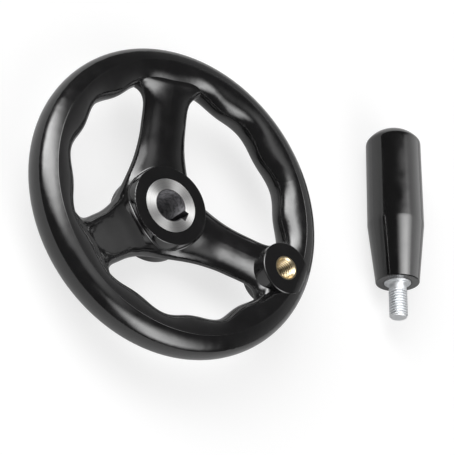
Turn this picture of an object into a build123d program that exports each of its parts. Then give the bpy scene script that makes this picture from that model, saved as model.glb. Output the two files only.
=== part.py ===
from build123d import *
import math
import os

# Machine handwheel, 160 mm, three spokes, with a revolving handle that is screwed off.
# Millimetres. The wheel lies on the back of its hub: Z=0 is that back face, +Z is the
# wheel axis and points out of the front, and +X points along the spoke that carries
# the handle boss. The handle lies on its side on the same level beside the wheel.

# ---- Rim ----
wheel_d = 160.0
rim_width = 19.7  # from the outside to the mean of the wavy inside
rim_height = 20.0
rim_crest_inset = 9.0  # from the outside to the crest, a soft edge at the top of the rim
rim_bulge = 0.61  # 0.552 gives a quarter of an ellipse, more is fuller
rim_outer_fall = 12.5  # degrees, how the rim falls away outside its crest
rim_inner_fall = 8.5  # and inside it
rim_mid_z = 28.0
scallops_per_spoke = 4  # finger hollows round the inside
scallop_swing = 1.3  # each side of the mean

# ---- Spokes ----
spoke_count = 3
spoke_half_width = 12.7
spoke_bulge = 0.58
spoke_crown_at_hub = 7.0  # from the widest line of a spoke up to its top
spoke_crown_middle = 5.4
spoke_crown_at_rim = 6.0
spoke_belly = 5.4  # from the widest line down to its underside
spoke_hub_z = 13.0  # height of the widest line where it leaves the hub
spoke_level_r = 12.0  # inside this the spokes stop falling
hub_flare_r = 60.0  # plan radius that joins two neighbouring spokes round the hub
rim_flare_r = 7.8  # plan radius that joins a spoke to the rim
rim_flare_sink = 2.5  # how far that radius runs under the rim's mean inside
spoke_start = 9.0  # from the wheel axis, inside the hub
spoke_rooting = 5.5  # how far a spoke runs on into the rim after its flare
rim_flare_share = 0.9  # the part of that plan radius that shows as a curve

# ---- Hub ----
hub_length = 22.2
hub_front_r = 20.6
hub_back_r = 22.1
hub_front_round = 0.6
hub_back_round = 0.8
hub_foot_round = 0.9  # between the hub's front and the spokes

# ---- Handle boss on the rim ----
boss_inset = 17.2  # from the outside of the rim to the boss axis
boss_r = 13.4
boss_depth = 19.0
boss_face_proud = 0.2  # above the rim's highest line
boss_face_round = 0.7
boss_flank_start = 0.3  # from the rim's crest to where the face turns down
boss_flank_inset = 1.4  # from the outside of the rim to the end of the boss's flank

# ---- Steel bush in the hub ----
bush_r = 14.0
bore_r = 8.0
bore_chamfer = 0.4  # at the front
key_width = 5.0
key_depth = 2.3  # beyond the bore wall
bush_groove_depth = 1.0
bush_groove_width = 4.0
bush_groove_inset = 4.5  # from each end face to its groove

# ---- Brass insert in the boss ----
insert_r = 6.2
insert_length = 16.0
insert_groove_depth = 0.8
insert_groove_width = 4.0
insert_groove_inset = 6.0  # from the mouth to the groove

# ---- Handle thread, M10 x 1.5 ----
thread_major_r = 5.0
thread_minor_r = 4.19
thread_mouth_chamfer = 1.3

# ---- Grip of the handle ----
grip_length = 91.2
grip_max_r = 15.3
grip_head_r = 15.0
grip_open_r = 11.7
grip_taper_length = 33.5  # from the open end to the widest place
grip_waist_round = 12.0  # softens the widest place
grip_crown_r = 18.0
grip_corner_r = 4.0  # between the crown and the side
grip_open_round = 0.7
grip_recess_depth = 6.0  # for the spindle's collar
grip_bore_depth = 74.0

# ---- Steel spindle of the handle ----
shank_r = 4.0
shank_clearance = 0.08
shank_tip_gap = 2.0  # between the shank's end and the bottom of the grip's bore
shank_tip_chamfer = 0.8
collar_r = 7.2
collar_clearance = 0.4
collar_float = 0.1  # between the collar and the floor of its recess
collar_proud = 0.4  # out of the grip's open end
collar_chamfer = 0.3
shoulder_cone = 1.2  # from the collar's face down to the neck
neck_r = 4.7
neck_length = 4.2  # from the grip's open end to the first thread
stud_length = 19.8  # from the grip's open end to the tip
stud_tip_chamfer = 1.0

# ---- Snap ring that keeps the grip on its spindle ----
ring_wire = 1.2  # square section
ring_from_tip = 7.0  # from the shank's end
ring_gap_angle = 40.0
ring_side_clearance = 0.15
ring_seat = 0.6  # how far the ring sits in the shank
ring_seat_clearance = 0.05
ring_top_clearance = 0.3  # between the ring and the bottom of the grip's groove

# ---- Where the handle lies ----
handle_x = 136.15  # middle of the grip's open end
handle_y = 54.2
handle_azimuth = -67.0  # direction from the crown to the stud

# ---- Worked out from the sizes above ----
rim_r = wheel_d / 2
rim_inner_r = rim_r - rim_width
rim_crest_r = rim_r - rim_crest_inset
rim_top_z = rim_mid_z + rim_height / 2
boss_x = rim_r - boss_inset
boss_face_z = rim_top_z + boss_face_proud
spoke_pitch = 360 / spoke_count
scallop_count = scallops_per_spoke * spoke_count


def radial_plane(angle):
    """Upright plane through the wheel axis: x runs outwards, y runs up."""
    outwards = (math.cos(math.radians(angle)), math.sin(math.radians(angle)), 0)
    sideways = (math.sin(math.radians(angle)), -math.cos(math.radians(angle)), 0)
    return Plane(origin=(0, 0, 0), x_dir=outwards, z_dir=sideways)


def quarter(peak, side, bulge, fall=0):
    """Quarter of an oval, level at its peak or falling away from it at an angle."""
    reach = side[0] - peak[0]
    rise = peak[1] - side[1]
    drop = abs(reach) * bulge * math.tan(math.radians(fall))
    if rise < 0:
        drop = -drop
    Bezier(
        peak,
        (peak[0] + reach * bulge, peak[1] - drop),
        (side[0], side[1] + rise * bulge),
        side,
    )


# ---- Rim: an oval ring whose inside waves, lofted from ridge to ridge ----
ridge_pitch = 360 / scallop_count
sections_per_ridge = 8


def scallop_r(angle):
    """Inside radius of the rim at an angle: a ridge behind each spoke, hollows between."""
    return rim_inner_r - scallop_swing * math.cos(math.radians(scallop_count * angle))


# its seams lie in the hollows, clear of the spokes and the boss
with BuildPart() as rim:
    for step in range(2 * sections_per_ridge + 1):
        angle = ridge_pitch * (step / sections_per_ridge - 0.5)
        with BuildSketch(radial_plane(angle)):
            with BuildLine():
                top = (rim_crest_r, rim_top_z)
                bottom = (rim_crest_r, rim_mid_z - rim_height / 2)
                outside = (rim_r, rim_mid_z)
                inside = (scallop_r(angle), rim_mid_z)
                quarter(top, outside, rim_bulge, rim_outer_fall)
                quarter(bottom, outside, rim_bulge, rim_outer_fall)
                quarter(bottom, inside, rim_bulge, rim_inner_fall)
                quarter(top, inside, rim_bulge, rim_inner_fall)
            make_face()
    loft()

# ---- Hub, slightly tapered to leave its mould ----
with BuildPart() as hub:
    with BuildSketch(Plane.XZ):
        Polygon(
            (0, 0),
            (hub_back_r, 0),
            (hub_front_r, hub_length),
            (0, hub_length),
            align=None,
        )
    revolve(axis=Axis.Z)
    fillet(hub.edges().sort_by(Axis.Z)[-1], hub_front_round)
    fillet(hub.edges().sort_by(Axis.Z)[0], hub_back_round)

# ---- One spoke: an oval bar that climbs from the hub to the rim ----
# In plan its edge is straight, with a large radius round the hub, centred halfway to
# the next spoke, and a small one into the rim.
half_pitch = math.radians(spoke_pitch / 2)
hub_flare_end = (spoke_half_width + hub_flare_r) / math.tan(half_pitch)
flare_centre_r = rim_inner_r + rim_flare_sink - rim_flare_r
rim_flare_start = math.sqrt(flare_centre_r**2 - (spoke_half_width + rim_flare_r) ** 2)
rim_flare_end = rim_flare_start + rim_flare_share * rim_flare_r
spoke_tip = rim_flare_end + spoke_rooting


def flare(reach, radius):
    """How far a rounded edge has moved out, a distance into its radius."""
    return radius - math.sqrt(radius**2 - reach**2)


def spoke_edge(x):
    """Half width of a spoke at a distance from the wheel axis."""
    edge = spoke_half_width
    if x < hub_flare_end:
        edge += flare(hub_flare_end - x, hub_flare_r)
    if x > rim_flare_start:
        reach = min(x, rim_flare_end) - rim_flare_start
        edge += flare(reach, rim_flare_r)
        # inside the rim the edge runs on straight
        slope = reach / math.sqrt(rim_flare_r**2 - reach**2)
        edge += slope * max(x - rim_flare_end, 0)
    return edge


def spoke_z(x):
    """Height of a spoke's widest line: level at its root, then a straight climb to the rim."""
    climb = (rim_mid_z - spoke_hub_z) / (rim_inner_r - hub_front_r)
    bend = hub_front_r - spoke_level_r
    if x >= hub_front_r:
        return spoke_hub_z + climb * (x - hub_front_r)
    along = max(x - spoke_level_r, 0)
    return spoke_hub_z - climb * bend / 2 + climb * along**2 / (2 * bend)


def spoke_crown(x):
    """Height of a spoke's top above its widest line, a parabola from hub to rim."""
    along = (x - hub_front_r) / (rim_inner_r - hub_front_r)
    along = min(max(along, 0), 1)
    straight = spoke_crown_at_hub + (spoke_crown_at_rim - spoke_crown_at_hub) * along
    sag = (spoke_crown_at_hub + spoke_crown_at_rim) / 2 - spoke_crown_middle
    return straight - 4 * sag * along * (1 - along)


# where the sections stand, closer together where a spoke bends or flares
root_stations = [spoke_start, spoke_level_r, (spoke_level_r + hub_front_r) / 2, hub_front_r]
arm_length = rim_flare_start - hub_front_r
arm_stations = [hub_front_r + arm_length * share for share in (0.25, 0.5, 0.75)]
flare_length = rim_flare_end - rim_flare_start
flare_stations = [rim_flare_start + flare_length * share for share in (0, 0.6, 1)]

with BuildPart() as half_spoke:
    for x in root_stations + arm_stations + flare_stations + [spoke_tip]:
        with BuildSketch(Plane.YZ.offset(x)):
            with BuildLine():
                top = (0, spoke_z(x) + spoke_crown(x))
                bottom = (0, spoke_z(x) - spoke_belly)
                edge = (spoke_edge(x), spoke_z(x))
                quarter(top, edge, spoke_bulge)
                quarter(bottom, edge, spoke_bulge)
                Line(bottom, top)
            make_face()
    loft()
    add(hub.part)
    # cut to a sixth of the wheel, so that neighbours meet face to face
    with BuildSketch():
        Polygon(
            (0, 0),
            (rim_r, 0),
            (rim_r, rim_r * math.tan(half_pitch)),
            align=None,
        )
    extrude(amount=rim_top_z, mode=Mode.INTERSECT)
    # the spoke grows out of the hub's front with a small radius
    hub_foot = half_spoke.faces().filter_by(GeomType.CONE).sort_by(Axis.Z)[-1].edges()
    fillet(hub_foot.filter_by(GeomType.BSPLINE), hub_foot_round)

with BuildPart() as spoke:
    add(half_spoke.part)
    mirror(about=Plane.XZ)

# ---- Boss: a round post under the handle; its outer flank follows the rim ----
with BuildPart() as boss:
    with BuildSketch(Plane.XY.offset(boss_face_z)):
        with Locations((boss_x, 0)):
            Circle(boss_r)
    extrude(amount=-boss_depth)
    fillet(boss.edges().sort_by(Axis.Z)[-1], boss_face_round)
    # the face runs level to just past the rim's crest and then turns down
    flank_start_r = rim_crest_r + boss_flank_start
    flank_end_r = rim_r - boss_flank_inset
    with BuildSketch(Plane.XZ):
        with BuildLine():
            EllipticalCenterArc(
                (flank_start_r, rim_mid_z),
                flank_end_r - flank_start_r,
                boss_face_z - rim_mid_z,
                start_angle=0,
                arc_size=90,
            )
            Polyline(
                (flank_start_r, boss_face_z),
                (0, boss_face_z),
                (0, boss_face_z - boss_depth),
                (flank_end_r, boss_face_z - boss_depth),
                (flank_end_r, rim_mid_z),
            )
        make_face()
    revolve(axis=Axis.Z, mode=Mode.INTERSECT)


def grooved_section(outer_r, inner_r, low, high, groove_depth, groove_spans):
    """Half section of a sleeve about the y axis, with keying grooves round its outside."""
    points = [(inner_r, low), (outer_r, low)]
    for start, end in groove_spans:
        points += [(outer_r, start), (outer_r - groove_depth, start)]
        points += [(outer_r - groove_depth, end), (outer_r, end)]
    points += [(outer_r, high), (inner_r, high)]
    with BuildSketch() as section:
        Polygon(*points, align=None)
    return section.sketch


def bush_section(inner_r):
    lower = (bush_groove_inset, bush_groove_inset + bush_groove_width)
    upper = (hub_length - lower[1], hub_length - lower[0])
    return grooved_section(bush_r, inner_r, 0, hub_length, bush_groove_depth, [lower, upper])


def insert_section(inner_r):
    upper = boss_face_z - insert_groove_inset
    groove = (upper - insert_groove_width, upper)
    low = boss_face_z - insert_length
    return grooved_section(insert_r, inner_r, low, boss_face_z, insert_groove_depth, [groove])


boss_axis = Axis((boss_x, 0, 0), (0, 0, 1))
boss_plane = Plane(origin=(boss_x, 0, 0), x_dir=(1, 0, 0), z_dir=(0, -1, 0))

# ---- Wheel: rim, spokes, hub and boss in one moulding round its metal inserts ----
with BuildPart() as wheel:
    with PolarLocations(0, round(scallop_count / 2)):
        add(rim.part)
    with PolarLocations(0, spoke_count):
        add(spoke.part)
    add(boss.part)
    with BuildSketch(Plane.XZ):
        add(bush_section(0))
    revolve(axis=Axis.Z, mode=Mode.SUBTRACT)
    with BuildSketch(boss_plane):
        add(insert_section(0))
    revolve(axis=boss_axis, mode=Mode.SUBTRACT)
wheel.part.label = "wheel"

# ---- Hub bush with its keyway ----
with BuildPart() as hub_bush:
    with BuildSketch(Plane.XZ):
        add(bush_section(bore_r))
    revolve(axis=Axis.Z)
    chamfer(hub_bush.faces().sort_by(Axis.Z)[-1].inner_wires().edges(), bore_chamfer)
    with BuildSketch():
        with Locations((0, -key_width / 2)):
            Rectangle(bore_r + key_depth, key_width, align=Align.MIN)
    extrude(amount=hub_length, mode=Mode.SUBTRACT)
hub_bush.part.label = "hub_bush"

# ---- Threaded insert, its bore at the thread's crests ----
with BuildPart() as handle_insert:
    with BuildSketch(boss_plane):
        add(insert_section(thread_minor_r))
    revolve(axis=boss_axis)
    chamfer(handle_insert.faces().sort_by(Axis.Z)[-1].inner_wires().edges(), thread_mouth_chamfer)
handle_insert.part.label = "handle_insert"

# ---- The handle's own plane: x is a radius, y runs along the axis towards the stud ----
# It rests along its side from the crown's corner to the widest place, so its axis tips
# up by the taper between them.
crown_depth = grip_crown_r - math.sqrt(grip_crown_r**2 - grip_head_r**2)
head_reach = grip_length - crown_depth - grip_taper_length
handle_tilt = math.atan((grip_max_r - grip_head_r) / head_reach)
handle_turn = math.radians(handle_azimuth)
side_r_at_end = grip_max_r + grip_taper_length * math.tan(handle_tilt)
handle_z = side_r_at_end * math.cos(handle_tilt)
handle_dir = Vector(
    math.cos(handle_turn) * math.cos(handle_tilt),
    math.sin(handle_turn) * math.cos(handle_tilt),
    math.sin(handle_tilt),
)
handle_across = Vector(math.sin(handle_turn), -math.cos(handle_turn), 0)
handle_end = Vector(handle_x, handle_y, handle_z)
handle_axis = Axis(handle_end, handle_dir)
handle_plane = Plane(origin=handle_end, x_dir=handle_across, z_dir=handle_across.cross(handle_dir))

# Along the handle's axis, from the grip's open end
shank_end = shank_tip_gap - grip_bore_depth
ring_low = shank_end + ring_from_tip
ring_high = ring_low + ring_wire
ring_inner_r = shank_r - ring_seat
ring_outer_r = ring_inner_r + ring_wire
collar_back = collar_float - grip_recess_depth
crown_edge = crown_depth - grip_length

bore_wall_r = shank_r + shank_clearance
recess_r = collar_r + collar_clearance
groove_low = ring_low - ring_side_clearance
groove_high = ring_high + ring_side_clearance
groove_r = ring_outer_r + ring_top_clearance

# ---- Grip: turned outside with a crowned head, stepped bore inside ----
with BuildPart() as grip:
    with BuildSketch(handle_plane) as grip_outside:
        with BuildLine():
            CenterArc(
                (0, grip_crown_r - grip_length),
                grip_crown_r,
                start_angle=-90,
                arc_size=math.degrees(math.asin(grip_head_r / grip_crown_r)),
            )
            Polyline(
                (grip_head_r, crown_edge),
                (grip_max_r, -grip_taper_length),
                (grip_open_r, 0),
                (0, 0),
                (0, -grip_length),
            )
        make_face()
        corners = grip_outside.vertices().group_by(Axis.X)
        fillet(corners[-1], grip_waist_round)
        fillet(grip_outside.vertices().sort_by_distance((grip_head_r, crown_edge))[0], grip_corner_r)
        fillet(grip_outside.vertices().sort_by_distance((grip_open_r, 0))[0], grip_open_round)
    revolve(axis=handle_axis)
    with BuildSketch(handle_plane):
        Polygon(
            (0, 0),
            (recess_r, 0),
            (recess_r, -grip_recess_depth),
            (bore_wall_r, -grip_recess_depth),
            (bore_wall_r, groove_high),
            (groove_r, groove_high),
            (groove_r, groove_low),
            (bore_wall_r, groove_low),
            (bore_wall_r, -grip_bore_depth),
            (0, -grip_bore_depth),
            align=None,
        )
    revolve(axis=handle_axis, mode=Mode.SUBTRACT)
grip.part.label = "grip"

# ---- Spindle: shank, collar, neck and stud in one turned piece ----
seat_r = ring_inner_r - ring_seat_clearance
cone_top_r = neck_r + shoulder_cone
with BuildPart() as spindle:
    with BuildSketch(handle_plane):
        Polygon(
            (0, shank_end),
            (shank_r - shank_tip_chamfer, shank_end),
            (shank_r, shank_end + shank_tip_chamfer),
            (shank_r, groove_low),
            (seat_r, groove_low),
            (seat_r, groove_high),
            (shank_r, groove_high),
            (shank_r, collar_back),
            (collar_r, collar_back),
            (collar_r, collar_proud - collar_chamfer),
            (collar_r - collar_chamfer, collar_proud),
            (cone_top_r, collar_proud),
            (neck_r, collar_proud + shoulder_cone),
            (neck_r, neck_length),
            (thread_major_r, neck_length + thread_major_r - neck_r),
            (thread_major_r, stud_length - stud_tip_chamfer),
            (thread_major_r - stud_tip_chamfer, stud_length),
            (0, stud_length),
            align=None,
        )
    revolve(axis=handle_axis)
spindle.part.label = "spindle"

# ---- Snap ring, open on one side ----
with BuildPart() as retaining_ring:
    with BuildSketch(handle_plane):
        Polygon(
            (ring_inner_r, ring_low),
            (ring_outer_r, ring_low),
            (ring_outer_r, ring_high),
            (ring_inner_r, ring_high),
            align=None,
        )
    revolve(axis=handle_axis, revolution_arc=360 - ring_gap_angle)
retaining_ring.part.label = "retaining_ring"

os.makedirs("parts", exist_ok=True)
for piece in (wheel, hub_bush, handle_insert, grip, spindle, retaining_ring):
    export_step(piece.part, f"parts/{piece.part.label}.step")
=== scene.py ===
import math

import bmesh
import bpy
import numpy as np
from mathutils import Matrix, Vector


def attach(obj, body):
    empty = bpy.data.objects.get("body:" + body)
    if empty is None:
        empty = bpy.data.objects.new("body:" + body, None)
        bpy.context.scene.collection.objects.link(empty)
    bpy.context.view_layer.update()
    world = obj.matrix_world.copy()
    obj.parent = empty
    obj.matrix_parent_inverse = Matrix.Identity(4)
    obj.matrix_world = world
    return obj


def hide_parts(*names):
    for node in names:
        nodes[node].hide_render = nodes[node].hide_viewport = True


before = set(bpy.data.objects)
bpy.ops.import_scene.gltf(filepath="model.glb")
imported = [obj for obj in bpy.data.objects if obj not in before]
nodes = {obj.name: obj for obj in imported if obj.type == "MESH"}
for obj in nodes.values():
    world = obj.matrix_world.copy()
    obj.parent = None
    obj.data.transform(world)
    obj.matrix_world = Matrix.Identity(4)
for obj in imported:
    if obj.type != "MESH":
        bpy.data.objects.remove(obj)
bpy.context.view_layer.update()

mm = 0.001
print("frame loaded:", sorted(nodes))


def linearColour(hexText):
    # sRGB hex to linear: c / 12.92 up to 0.04045, else ((c + 0.055) / 1.055) ^ 2.4
    values = [int(hexText[i:i + 2], 16) / 255 for i in (1, 3, 5)]
    linear = [c / 12.92 if c <= 0.04045 else ((c + 0.055) / 1.055) ** 2.4 for c in values]
    return (*linear, 1.0)


def addNode(tree, kind, settings=None, links=None):
    # settings: property or input name -> value; links: input name -> output socket
    node = tree.nodes.new(kind)
    for key, value in (settings or {}).items():
        if isinstance(key, str) and hasattr(node, key):
            setattr(node, key, value)
        else:
            node.inputs[key].default_value = value
    for key, socket in (links or {}).items():
        tree.links.new(socket, node.inputs[key])
    return node


def newMaterial(name, settings):
    material = bpy.data.materials.new(name)
    material.use_nodes = True
    tree = material.node_tree
    shader = tree.nodes["Principled BSDF"]
    for key, value in settings.items():
        shader.inputs[key].default_value = value
    return material, tree, shader


def dress(node, material):
    # a CAD node keeps its mesh and gets the material in its slots
    slots = nodes[node].data.materials
    slots.clear()
    slots.append(material)


def perMetre(millimetres):
    # texture scale whose features are about this far apart
    return 1 / (millimetres * mm)


def mouldedPhenolic():
    # Compression-moulded black phenolic with a buffed skin: deep, nearly neutral black,
    # mirror gloss with a faint long ripple, and wood flour just visible close up. Real
    # flour is about 0.15 mm and is drawn coarser, so that it shows.
    look = {
        "black": "#0e0e10", "flour": "#191715",
        "flourSize": 0.35, "rippleSize": 8.0, "rippleDepth": 0.045,
        "buffSize": 9.0, "glossLow": 0.10, "glossHigh": 0.27,
    }
    material, tree, shader = newMaterial("mouldedPhenolic", {
        "IOR": 1.7, "Coat Weight": 1.0, "Coat Roughness": 0.05, "Coat IOR": 1.52,
    })
    place = addNode(tree, "ShaderNodeTexCoord")
    speck = addNode(tree, "ShaderNodeTexNoise", {
        "Scale": perMetre(look["flourSize"]), "Detail": 2.0, "Roughness": 0.6,
    }, {"Vector": place.outputs["Object"]})
    speckRange = addNode(tree, "ShaderNodeMapRange", {
        "From Min": 0.45, "From Max": 0.75,
    }, {"Value": speck.outputs["Fac"]})
    colour = addNode(tree, "ShaderNodeMix", {
        "data_type": "RGBA", 6: linearColour(look["black"]), 7: linearColour(look["flour"]),
    }, {0: speckRange.outputs["Result"]})
    buff = addNode(tree, "ShaderNodeTexNoise", {
        "Scale": perMetre(look["buffSize"]), "Detail": 4.0,
    }, {"Vector": place.outputs["Object"]})
    gloss = addNode(tree, "ShaderNodeMapRange", {
        "From Min": 0.3, "From Max": 0.7,
        "To Min": look["glossLow"], "To Max": look["glossHigh"],
    }, {"Value": buff.outputs["Fac"]})
    ripple = addNode(tree, "ShaderNodeTexNoise", {
        "Scale": perMetre(look["rippleSize"]), "Detail": 1.0,
    }, {"Vector": place.outputs["Object"]})
    bump = addNode(tree, "ShaderNodeBump", {
        "Strength": 1.0, "Distance": look["rippleDepth"] * mm,
    }, {"Height": ripple.outputs["Fac"]})
    tree.links.new(colour.outputs[2], shader.inputs["Base Color"])
    tree.links.new(gloss.outputs["Result"], shader.inputs["Roughness"])
    tree.links.new(bump.outputs["Normal"], shader.inputs["Normal"])
    tree.links.new(bump.outputs["Normal"], shader.inputs["Coat Normal"])
    return material


def turnedSteel():
    # Free-cutting steel faced on a lathe: bright, with fine concentric tool marks that
    # draw its highlight out into two opposite fans. The bore and keyway are left dull,
    # with painted shade darkening their colour, darkest in the keyway.
    look = {
        "steel": "#fdfdfc", "mark": "#dddcdb", "markSize": 0.24, "markDepth": 0.002,
        # the wall's grey is painted shade in the bore, mottled at random by the stain, and the
        # keyway's darker grey is painted shade in the slot
        "wall": "#a3a2a6", "wallStain": "#626164", "keyway": "#4b4a4d", "stainSize": 2.2,
        "faceFrom": 0.9, "faceRough": 0.61, "wallRough": 0.62, "wallMetal": 0.4, "boreRadius": 8.06,
        # how strongly the marks stretch the highlight, and their lay, a little off the round
        "stretch": 0.84, "lay": 0.27,
    }
    material, tree, shader = newMaterial("turnedSteel", {
        "Anisotropic": look["stretch"], "Anisotropic Rotation": look["lay"],
    })
    place = addNode(tree, "ShaderNodeTexCoord")
    flat = addNode(tree, "ShaderNodeVectorMath", {
        "operation": "MULTIPLY", 1: (1.0, 1.0, 0.0),
    }, {0: place.outputs["Object"]})
    radius = addNode(tree, "ShaderNodeVectorMath", {
        "operation": "LENGTH",
    }, {0: flat.outputs["Vector"]})
    marks = addNode(tree, "ShaderNodeTexNoise", {
        "noise_dimensions": "1D", "Scale": perMetre(look["markSize"]), "Detail": 2.0,
    }, {"W": radius.outputs["Value"]})
    bump = addNode(tree, "ShaderNodeBump", {
        "Strength": 1.0, "Distance": look["markDepth"] * mm,
    }, {"Height": marks.outputs["Fac"]})
    marksRange = addNode(tree, "ShaderNodeMapRange", {
        "From Min": 0.35, "From Max": 0.65,
    }, {"Value": marks.outputs["Fac"]})
    face = addNode(tree, "ShaderNodeMix", {
        "data_type": "RGBA", 6: linearColour(look["mark"]), 7: linearColour(look["steel"]),
    }, {0: marksRange.outputs["Result"]})
    stain = addNode(tree, "ShaderNodeTexNoise", {
        "Scale": perMetre(look["stainSize"]), "Detail": 6.0, "Roughness": 0.65,
    }, {"Vector": place.outputs["Object"]})
    stainRange = addNode(tree, "ShaderNodeMapRange", {
        "From Min": 0.38, "From Max": 0.62,
    }, {"Value": stain.outputs["Fac"]})
    wall = addNode(tree, "ShaderNodeMix", {
        "data_type": "RGBA", 6: linearColour(look["wall"]), 7: linearColour(look["wallStain"]),
    }, {0: stainRange.outputs["Result"]})
    # beyond the bore's radius a wall belongs to the keyway, painted darkest as shade
    inKeywayShade = addNode(tree, "ShaderNodeMath", {
        "operation": "GREATER_THAN", 1: look["boreRadius"] * mm,
    }, {0: radius.outputs["Value"]})
    shadedBore = addNode(tree, "ShaderNodeMix", {
        "data_type": "RGBA", 7: linearColour(look["keyway"]),
    }, {0: inKeywayShade.outputs["Value"], 6: wall.outputs[2]})
    # faced ends look along the axis, walls across it
    facing = addNode(tree, "ShaderNodeSeparateXYZ", None, {0: place.outputs["Normal"]})
    level = addNode(tree, "ShaderNodeMath", {"operation": "ABSOLUTE"}, {0: facing.outputs["Z"]})
    onFace = addNode(tree, "ShaderNodeMath", {
        "operation": "GREATER_THAN", 1: look["faceFrom"],
    }, {0: level.outputs["Value"]})
    colour = addNode(tree, "ShaderNodeMix", {"data_type": "RGBA"}, {
        0: onFace.outputs["Value"], 6: shadedBore.outputs[2], 7: face.outputs[2],
    })
    rough = addNode(tree, "ShaderNodeMapRange", {
        "To Min": look["wallRough"], "To Max": look["faceRough"],
    }, {"Value": onFace.outputs["Value"]})
    # an oil film takes the metal's mirror away in the bore
    metal = addNode(tree, "ShaderNodeMapRange", {
        "To Min": look["wallMetal"],
    }, {"Value": onFace.outputs["Value"]})
    # the marks run round the axis: along is (0, 0, 1) x place
    along = addNode(tree, "ShaderNodeVectorMath", {
        "operation": "CROSS_PRODUCT", 0: (0.0, 0.0, 1.0),
    }, {1: place.outputs["Object"]})
    tangent = addNode(tree, "ShaderNodeVectorMath", {
        "operation": "NORMALIZE",
    }, {0: along.outputs["Vector"]})
    tree.links.new(colour.outputs[2], shader.inputs["Base Color"])
    tree.links.new(rough.outputs["Result"], shader.inputs["Roughness"])
    tree.links.new(metal.outputs["Result"], shader.inputs["Metallic"])
    tree.links.new(bump.outputs["Normal"], shader.inputs["Normal"])
    tree.links.new(tangent.outputs["Vector"], shader.inputs["Tangent"])
    return material


def plainMetal(name, look, threadShade=None):
    # one noise clouds the colour and the roughness together; groove, where there is one,
    # paints shade in its own colour down at the root of a thread
    material, tree, shader = newMaterial(name, {"Metallic": 1.0})
    place = addNode(tree, "ShaderNodeTexCoord")
    cloud = addNode(tree, "ShaderNodeTexNoise", {
        "Scale": perMetre(look["grain"]), "Detail": 4.0,
    }, {"Vector": place.outputs["Object"]})
    colour = addNode(tree, "ShaderNodeMix", {
        "data_type": "RGBA", 6: linearColour(look["dark"]), 7: linearColour(look["light"]),
    }, {0: cloud.outputs["Fac"]})
    rough = addNode(tree, "ShaderNodeMapRange", {
        "To Min": look["roughHigh"], "To Max": look["roughLow"],
    }, {"Value": cloud.outputs["Fac"]})
    if threadShade:
        offset = addNode(tree, "ShaderNodeVectorMath", {
            "operation": "SUBTRACT", 1: [v * mm for v in threadShade["point"]],
        }, {0: place.outputs["Object"]})
        # distance from the thread's axis: length of offset x axis
        square = addNode(tree, "ShaderNodeVectorMath", {
            "operation": "CROSS_PRODUCT", 1: threadShade["axis"],
        }, {0: offset.outputs["Vector"]})
        radius = addNode(tree, "ShaderNodeVectorMath", {
            "operation": "LENGTH",
        }, {0: square.outputs["Vector"]})
        height = addNode(tree, "ShaderNodeMapRange", {
            "From Min": threadShade["rootRadius"] * mm, "From Max": threadShade["unshadedRadius"] * mm,
        }, {"Value": radius.outputs["Value"]})
        # no painted shade beyond the end of the thread: offset along the axis
        along = addNode(tree, "ShaderNodeVectorMath", {
            "operation": "DOT_PRODUCT", 1: threadShade["axis"],
        }, {0: offset.outputs["Vector"]})
        beyond = addNode(tree, "ShaderNodeMath", {
            "operation": "GREATER_THAN", 1: threadShade["end"] * mm,
        }, {0: along.outputs["Value"]})
        unshaded = addNode(tree, "ShaderNodeMath", {"operation": "MAXIMUM"}, {
            0: height.outputs["Result"], 1: beyond.outputs["Value"],
        })
        # the groove's colour is painted shade, full at the root of the thread
        colour = addNode(tree, "ShaderNodeMix", {
            "data_type": "RGBA", 6: linearColour(threadShade["colour"]),
        }, {0: unshaded.outputs["Value"], 7: colour.outputs[2]})
    tree.links.new(colour.outputs[2], shader.inputs["Base Color"])
    tree.links.new(rough.outputs["Result"], shader.inputs["Roughness"])
    return material


meshSet = {"merge": 2e-6, "tiny": 1e-7, "crease": 35.0}


def meshPiece(name, grids, body, material, stands=None):
    # grids are arrays (rows, columns, 3); every cell of a grid is a quad, and points
    # that fall on each other are merged, so seams, poles and run-outs close
    points, quads, start = [], [], 0
    for grid in grids:
        rows, columns = grid.shape[:2]
        index = start + np.arange(rows * columns).reshape(rows, columns)
        corners = [index[:-1, :-1], index[:-1, 1:], index[1:, 1:], index[1:, :-1]]
        quads.append(np.stack(corners, -1).reshape(-1, 4))
        points.append(grid.reshape(-1, 3))
        start += rows * columns
    data = bpy.data.meshes.new(name)
    data.from_pydata(np.vstack(points).tolist(), [], np.vstack(quads).tolist())
    shell = bmesh.new()
    shell.from_mesh(data)
    bmesh.ops.remove_doubles(shell, verts=shell.verts, dist=meshSet["merge"])
    bmesh.ops.dissolve_degenerate(shell, edges=shell.edges, dist=meshSet["tiny"])
    bmesh.ops.recalc_face_normals(shell, faces=shell.faces)
    shell.to_mesh(data)
    shell.free()
    data.shade_smooth()
    data.set_sharp_from_angle(angle=math.radians(meshSet["crease"]))
    piece = bpy.data.objects.new(name, data)
    bpy.context.scene.collection.objects.link(piece)
    data.materials.append(material)
    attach(piece, body)
    if stands:
        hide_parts(stands)
    print("made", name, len(data.polygons), "faces")
    return piece


# the M10 thread that the stud and the insert share; crest and flank are shares of the
# pitch, and rows are where the grid has its lines within one pitch
isoThread = {
    "pitch": 1.5, "major": 5.0, "minor": 4.19, "root": 4.08, "sides": 96,
    "crest": 0.0625, "flank": 0.3125,
    "rows": [
        0, 0.0625, 0.09, 0.15, 0.22, 0.30, 0.36, 0.39, 0.44,
        0.5, 0.56, 0.61, 0.64, 0.70, 0.78, 0.85, 0.91, 0.9375,
    ],
}


def isoRadius(phase, outer, inner):
    # 60 degree thread: outer round phase 0, straight flanks, and inner round phase 1/2
    away = np.minimum(phase, 1 - phase)
    return outer + (inner - outer) * np.clip((away - isoThread["crest"]) / isoThread["flank"], 0, 1)


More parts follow.
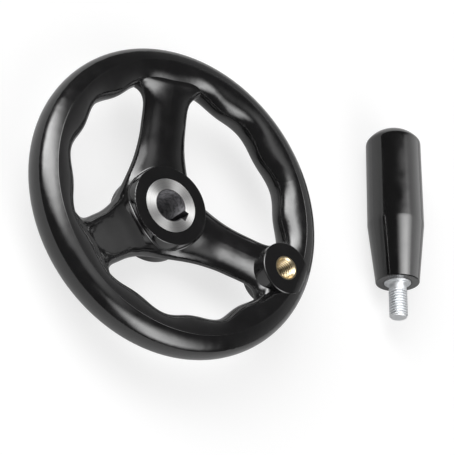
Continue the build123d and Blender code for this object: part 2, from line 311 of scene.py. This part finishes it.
def turnedGrid(profile):
    # a profile of (along, radius) carried once round the axis: x = radius x cos turn,
    # y = radius x sin turn and z = along
    along, radius = np.array(profile, float).T
    turn = np.linspace(0, 2 * np.pi, isoThread["sides"] + 1)
    x, y = radius[:, None] * np.cos(turn), radius[:, None] * np.sin(turn)
    return np.stack([x, y, along[:, None] + 0 * turn], -1)


def threadGrid(low, high, radiusAt):
    # rows follow the helix: along = low - pitch + pitch x (row + turn / 2 pi), held between
    # low and high; the radius comes from the place along the axis and within the pitch
    pitch, rows = isoThread["pitch"], isoThread["rows"]
    turn = np.linspace(0, 2 * np.pi, isoThread["sides"] + 1)[None, :]
    share = turn / (2 * np.pi)
    steps = math.ceil((high - low) / pitch) + 1
    row = np.append((np.arange(steps)[:, None] + np.array(rows)[None, :]).ravel(), steps)[:, None]
    along = np.clip(low - pitch + pitch * (row + share), low, high)
    phase = ((along - low) / pitch - share) % 1.0
    radius = radiusAt(along, phase)
    return np.stack([radius * np.cos(turn), radius * np.sin(turn), along], -1)


def placed(grid, origin, axis, across):
    # x runs along across, y along the cross product of axis and across, z along axis:
    # point = origin + x * across + y * third + z * axis
    third = np.cross(axis, across)
    return grid[..., :1] * across + grid[..., 1:2] * third + grid[..., 2:] * axis + origin


phenolic = mouldedPhenolic()
steel = turnedSteel()
# oiled spring steel: dark and even
springSteel = plainMetal("springSteel", {
    "light": "#6a6a6c", "dark": "#505052", "grain": 1.5, "roughLow": 0.30, "roughHigh": 0.40,
})

dress("wheel", phenolic)
dress("grip", phenolic)
dress("hub_bush", steel)
dress("retaining_ring", springSteel)
print("materials made")

# handle spindle: shank, snap-ring groove, collar, neck and rolled M10 stud
spindleSet = {
    "end": (136.15, 54.2, 15.502), "azimuth": -67.0, "tilt": 0.3462,
    "shankEnd": -72.0, "shank": 4.0, "shankChamfer": 0.8,
    "grooveLow": -65.15, "grooveHigh": -63.65, "seat": 3.35,
    "collarBack": -5.9, "collar": 7.2, "collarFace": 0.4, "collarChamfer": 0.3,
    "cone": 5.9, "neck": 4.7, "neckFoot": 1.6, "threadStart": 3.8, "runOut": 1.6,
    "crestRise": 0.4, "tip": 19.8, "tipChamfer": 1.0, "tipMiddle": 2.0,
    # the last is how far out from the thread's root the painted shade reaches
    "neckSteps": 7, "rootShadeDepth": 0.5,
}


def spindleThread(along, phase):
    # radius = root + (crest - root) x thread shape, both growing out of the neck, and
    # never past the chamfer at the tip
    p = spindleSet
    past = along - p["threadStart"]
    crest = p["neck"] + (isoThread["major"] - p["neck"]) * np.clip(past / p["crestRise"], 0, 1)
    root = p["neck"] + (isoThread["root"] - p["neck"]) * np.clip(past / p["runOut"], 0, 1)
    tipCone = isoThread["major"] - np.clip(along - (p["tip"] - p["tipChamfer"]), 0, None)
    return np.minimum(root + (crest - root) * isoRadius(phase, 1.0, 0.0), tipCone)


p = spindleSet
shaft = [
    (p["shankEnd"], 0), (p["shankEnd"], p["shank"] - p["shankChamfer"]),
    (p["shankEnd"] + p["shankChamfer"], p["shank"]), (p["grooveLow"], p["shank"]),
    (p["grooveLow"], p["seat"]), (p["grooveHigh"], p["seat"]), (p["grooveHigh"], p["shank"]),
    (p["collarBack"], p["shank"]), (p["collarBack"], p["collar"]),
    (p["collarFace"] - p["collarChamfer"], p["collar"]),
    (p["collarFace"], p["collar"] - p["collarChamfer"]), (p["collarFace"], p["cone"]),
]
# hollow quarter ellipse from the collar's face down to the neck: the place along goes
# with 1 - cos bend and the radius with sin bend
bend = np.linspace(0, math.pi / 2, p["neckSteps"])[1:]
neckAlong = p["collarFace"] + (p["neckFoot"] - p["collarFace"]) * (1 - np.cos(bend))
neckRadius = p["cone"] + (p["neck"] - p["cone"]) * np.sin(bend)
shaft += [*zip(neckAlong, neckRadius), (p["threadStart"], p["neck"])]
tipRadii = (isoThread["major"] - p["tipChamfer"], p["tipMiddle"], 0)
tipDisc = [(p["tip"], radius) for radius in tipRadii]
turn, tilt = math.radians(p["azimuth"]), math.radians(p["tilt"])
handleAxis = np.array([
    math.cos(turn) * math.cos(tilt), math.sin(turn) * math.cos(tilt), math.sin(tilt),
])
handleAcross = np.array([math.sin(turn), -math.cos(turn), 0.0])
spindleGrids = [
    turnedGrid(shaft),
    threadGrid(p["threadStart"], p["tip"], spindleThread),
    turnedGrid(tipDisc),
]
# bright zinc over the turned and rolled steel: bluish white, slightly cloudy, with
# painted shade making it greyer down in the thread
zinc = plainMetal("zincPlate", {
    "light": "#fafbfc", "dark": "#e6e9ec", "grain": 2.0, "roughLow": 0.42, "roughHigh": 0.58,
}, {
    "colour": "#bcbec1", "point": p["end"], "axis": handleAxis, "end": p["tip"] - p["tipChamfer"],
    "rootRadius": isoThread["root"], "unshadedRadius": isoThread["root"] + p["rootShadeDepth"],
})
spindlePiece = meshPiece(
    "threaded_spindle",
    [placed(grid * mm, np.array(p["end"]) * mm, handleAxis, handleAcross) for grid in spindleGrids],
    "wheel", zinc, "spindle",
)

# brass insert: keyed sleeve with a tapped M10 bore
insertSet = {
    "x": 62.8, "face": 38.2, "length": 16.0, "radius": 6.2,
    "grooveDepth": 0.8, "grooveWidth": 4.0, "grooveInset": 6.0,
    "mouthChamfer": 1.3, "footChamfer": 0.85,
    # painted shade darkens the thread roots from the first of these below the face, full and gone
    # at the other two depths from the major radius
    "rootShadeTop": 1.0, "rootShadeFull": 0.05, "rootShadeNone": 0.5,
}


def insertThread(along, phase):
    # tapped: the groove reaches the major radius and the crest stays at the core; the
    # chamfers at the mouth and the foot open it at 45 degrees
    p = insertSet
    inner = isoRadius((phase + 0.5) % 1.0, isoThread["major"], isoThread["minor"])
    mouth = isoThread["minor"] + p["mouthChamfer"] - (p["face"] - along)
    foot = isoThread["minor"] + p["footChamfer"] - (along - p["face"] + p["length"])
    return np.maximum(inner, np.maximum(mouth, foot))


p = insertSet
low = p["face"] - p["length"]
grooveTop = p["face"] - p["grooveInset"]
mouthRadius = isoThread["minor"] + p["mouthChamfer"]
sleeve = [
    (p["face"], mouthRadius), (p["face"], p["radius"]),
    (grooveTop, p["radius"]), (grooveTop, p["radius"] - p["grooveDepth"]),
    (grooveTop - p["grooveWidth"], p["radius"] - p["grooveDepth"]),
    (grooveTop - p["grooveWidth"], p["radius"]),
    (low, p["radius"]), (low, isoThread["minor"] + p["footChamfer"]),
]
insertGrids = [
    turnedGrid(sleeve),
    threadGrid(low, p["face"], insertThread),
]
upwards, outwards = np.array([0.0, 0.0, 1.0]), np.array([1.0, 0.0, 0.0])
# machined yellow brass: warm and bright, with painted shade in brown down in the thread
brass = plainMetal("machinedBrass", {
    "light": "#f6e9cb", "dark": "#dcc391", "grain": 1.5, "roughLow": 0.26, "roughHigh": 0.40,
}, {
    "colour": "#7b5726", "point": (p["x"], 0, p["face"] - p["rootShadeTop"]), "axis": upwards, "end": 0,
    "rootRadius": isoThread["major"] - p["rootShadeFull"],
    "unshadedRadius": isoThread["major"] - p["rootShadeNone"],
})
insertPiece = meshPiece(
    "tapped_insert",
    [placed(grid * mm, np.array((p["x"], 0, 0)) * mm, upwards, outwards) for grid in insertGrids],
    "wheel", brass, "handle_insert",
)

# parting line of the mould: a low round bead along the rim's crest, under the boss's face
partingSet = {
    "crestRadius": 71.0, "middleHeight": 37.88, "halfWidth": 0.40, "halfHeight": 0.23,
    "steps": 720, "section": 12,
}


def partingGrid():
    # an oval section carried round the wheel's axis: radius = crest + half width x cos
    # and height = middle + half height x sin of the angle round the section
    p = partingSet
    turn = np.linspace(0, 2 * np.pi, p["steps"] + 1)[:, None]
    around = np.linspace(0, 2 * np.pi, p["section"] + 1)[None, :]
    radius = p["crestRadius"] + p["halfWidth"] * np.cos(around)
    height = p["middleHeight"] + p["halfHeight"] * np.sin(around) + 0 * turn
    return np.stack([radius * np.cos(turn), radius * np.sin(turn), height], -1)


partingPiece = meshPiece("rim_parting_line", [partingGrid() * mm], "wheel", phenolic)


# stage: floor, sky, soft boxes and camera
studio = {
    "floorReach": 6.0, "floorRough": 0.9,
    "floorGrey": "#9f9f9f", "floorLift": 0.71, "floorGlossShare": 0.2,
    "skyBase": 0.06, "skyTop": 2.1, "skyTopFrom": 0.934, "skyTopTo": 1.112,
    "glowSide": (0.688, 0.719, -0.092), "glow": 0.22, "glowFrom": 0.48,
    "boxDistance": 3.0,
}
# each soft box: what it lights, azimuth and elevation of its middle in degrees, half its
# width and the softness of that edge as shares of its distance, the same for its height,
# radiance, and how much brighter it is upwards and towards larger azimuths
softBoxes = {
    "leftBox": ("wheelSide", 166.8, 49.0, (0.33, 0.26), (0.50, 0.20), 4.8, -0.80, -0.91),
    "rightBox": ("wheelSide", 318.5, 38.5, (0.32, 0.27), (0.42, 0.24), 3.1, -0.15, -1.50),
    "topBox": ("handleSide", 119.1, 81.1, (0.40, 0.30), (0.29, 0.08), 3.9, 1.50, -0.67),
    "sideBox": ("handleSide", 57.7, 29.7, (0.42, 0.19), (0.69, 0.08), 0.58, 0.42, -1.50),
}

reach = studio["floorReach"]
floorCorners = [(-reach, -reach, 0), (reach, -reach, 0), (reach, reach, 0), (-reach, reach, 0)]
floorMesh = bpy.data.meshes.new("floor")
floorMesh.from_pydata(floorCorners, [], [(0, 1, 2, 3)])
floor = bpy.data.objects.new("floor", floorMesh)
bpy.context.scene.collection.objects.link(floor)
floorMaterial, floorTree, floorShader = newMaterial("studioFloor", {
    "Base Color": linearColour(studio["floorGrey"]), "Roughness": studio["floorRough"],
    "Specular IOR Level": 0.0, "Emission Color": linearColour("#ffffff"),
})
# the camera sees the floor lifted to white with the shadow kept, mirrors see a share of it
rays = addNode(floorTree, "ShaderNodeLightPath")
glossShare = addNode(floorTree, "ShaderNodeMath", {
    "operation": "MULTIPLY", 1: studio["floorGlossShare"],
}, {0: rays.outputs["Is Glossy Ray"]})
seen = addNode(floorTree, "ShaderNodeMath", {"operation": "MAXIMUM"}, {
    0: rays.outputs["Is Camera Ray"], 1: glossShare.outputs["Value"],
})
lift = addNode(floorTree, "ShaderNodeMath", {
    "operation": "MULTIPLY", 1: studio["floorLift"],
}, {0: seen.outputs["Value"]})
floorTree.links.new(lift.outputs["Value"], floorShader.inputs["Emission Strength"])
floorMesh.materials.append(floorMaterial)

# the wheel and the handle are lit as two separate studio set-ups
litBy = {
    "wheelSide": [
        floor, nodes["wheel"], nodes["hub_bush"], insertPiece, spindlePiece, partingPiece,
    ],
    "handleSide": [nodes["grip"], nodes["retaining_ring"], spindlePiece],
}
receivers = {}
for side, lit in litBy.items():
    receivers[side] = bpy.data.collections.new(side)
    for thing in lit:
        receivers[side].objects.link(thing)

world = bpy.data.worlds.new("studio")
bpy.context.scene.world = world
world.use_nodes = True
skyTree = world.node_tree
sky = skyTree.nodes["Background"]
# bright overhead and a soft glow from one side; the camera sees white
way = addNode(skyTree, "ShaderNodeTexCoord")
split = addNode(skyTree, "ShaderNodeSeparateXYZ", None, {0: way.outputs["Generated"]})
overhead = addNode(skyTree, "ShaderNodeMapRange", {
    "interpolation_type": "SMOOTHSTEP",
    "From Min": studio["skyTopFrom"], "From Max": studio["skyTopTo"],
    "To Min": studio["skyBase"], "To Max": studio["skyTop"],
}, {"Value": split.outputs["Z"]})
towards = addNode(skyTree, "ShaderNodeVectorMath", {
    "operation": "DOT_PRODUCT", 1: studio["glowSide"],
}, {0: way.outputs["Generated"]})
sideLight = addNode(skyTree, "ShaderNodeMapRange", {
    "interpolation_type": "SMOOTHSTEP", "From Min": studio["glowFrom"],
    "To Max": studio["glow"],
}, {"Value": towards.outputs["Value"]})
light = addNode(skyTree, "ShaderNodeMath", {"operation": "ADD"}, {
    0: overhead.outputs["Result"], 1: sideLight.outputs["Result"],
})
skyRays = addNode(skyTree, "ShaderNodeLightPath")
strength = addNode(skyTree, "ShaderNodeMath", {"operation": "MAXIMUM"}, {
    0: light.outputs["Value"], 1: skyRays.outputs["Is Camera Ray"],
})
sky.inputs["Color"].default_value = linearColour("#ffffff")
skyTree.links.new(strength.outputs["Value"], sky.inputs["Strength"])


def edgeFade(tree, offset, half, soft):
    # 1 in the middle, falling smoothly to 0 over twice the softness at the edge
    away = addNode(tree, "ShaderNodeMath", {"operation": "ABSOLUTE"}, {0: offset})
    return addNode(tree, "ShaderNodeMapRange", {
        "interpolation_type": "SMOOTHSTEP", "From Min": half - soft, "From Max": half + soft,
        "To Min": 1.0, "To Max": 0.0,
    }, {"Value": away.outputs["Value"]}).outputs["Result"]


def softBox(name, side, azimuth, elevation, wide, high, radiance, leanUp, leanSide):
    # wide and high are (half size, softness); area lamp power = radiance x pi x area
    turn, rise = math.radians(azimuth), math.radians(elevation)
    level = math.cos(rise)
    away = Vector((level * math.cos(turn), level * math.sin(turn), math.sin(rise)))
    across = Vector((-math.sin(turn), math.cos(turn), 0.0))
    upright = away.cross(across)
    distance = studio["boxDistance"]
    lamp = bpy.data.lights.new(name, "AREA")
    lamp.shape = "RECTANGLE"
    lamp.size = 2 * distance * sum(wide)
    lamp.size_y = 2 * distance * sum(high)
    lamp.energy = radiance * math.pi * lamp.size * lamp.size_y
    holder = bpy.data.objects.new(name, lamp)
    holder.location = away * distance
    holder.rotation_euler = Matrix((across, upright, away)).transposed().to_euler()
    holder.visible_camera = False
    holder.light_linking.receiver_collection = receivers[side]
    bpy.context.scene.collection.objects.link(holder)
    lamp.use_nodes = True
    tree = lamp.node_tree
    spot = addNode(tree, "ShaderNodeNewGeometry")
    offsets = []
    for direction in (across, upright):
        offsets.append(addNode(tree, "ShaderNodeVectorMath", {
            "operation": "DOT_PRODUCT", 1: direction / distance,
        }, {0: spot.outputs["Position"]}).outputs["Value"])
    fade = addNode(tree, "ShaderNodeMath", {"operation": "MULTIPLY"}, {
        0: edgeFade(tree, offsets[0], *wide), 1: edgeFade(tree, offsets[1], *high),
    })
    leanAcross = addNode(tree, "ShaderNodeMath", {
        "operation": "MULTIPLY_ADD", 1: leanSide, 2: 1.0,
    }, {0: offsets[0]})
    lean = addNode(tree, "ShaderNodeMath", {
        "operation": "MULTIPLY_ADD", 1: leanUp,
    }, {0: offsets[1], 2: leanAcross.outputs["Value"]})
    lit = addNode(tree, "ShaderNodeMath", {
        "operation": "MAXIMUM", 1: 0.0,
    }, {0: lean.outputs["Value"]})
    shape = addNode(tree, "ShaderNodeMath", {"operation": "MULTIPLY"}, {
        0: fade.outputs["Value"], 1: lit.outputs["Value"],
    })
    tree.links.new(shape.outputs["Value"], tree.nodes["Emission"].inputs["Strength"])


for name, values in softBoxes.items():
    softBox(name, *values)

cameraSet = {
    "place": (-0.234718, -0.507888, 0.702107),
    "turn": (24.11528, -33.69774, 23.86751),
    "lens": 142.4176, "sensor": 36.0,
}
cameraData = bpy.data.cameras.new("camera")
cameraData.lens = cameraSet["lens"]
cameraData.sensor_width = cameraSet["sensor"]
camera = bpy.data.objects.new("camera", cameraData)
camera.location = cameraSet["place"]
camera.rotation_euler = [math.radians(v) for v in cameraSet["turn"]]
bpy.context.scene.collection.objects.link(camera)
bpy.context.scene.camera = camera
bpy.context.scene.view_settings.view_transform = "Standard"
print("stage set")
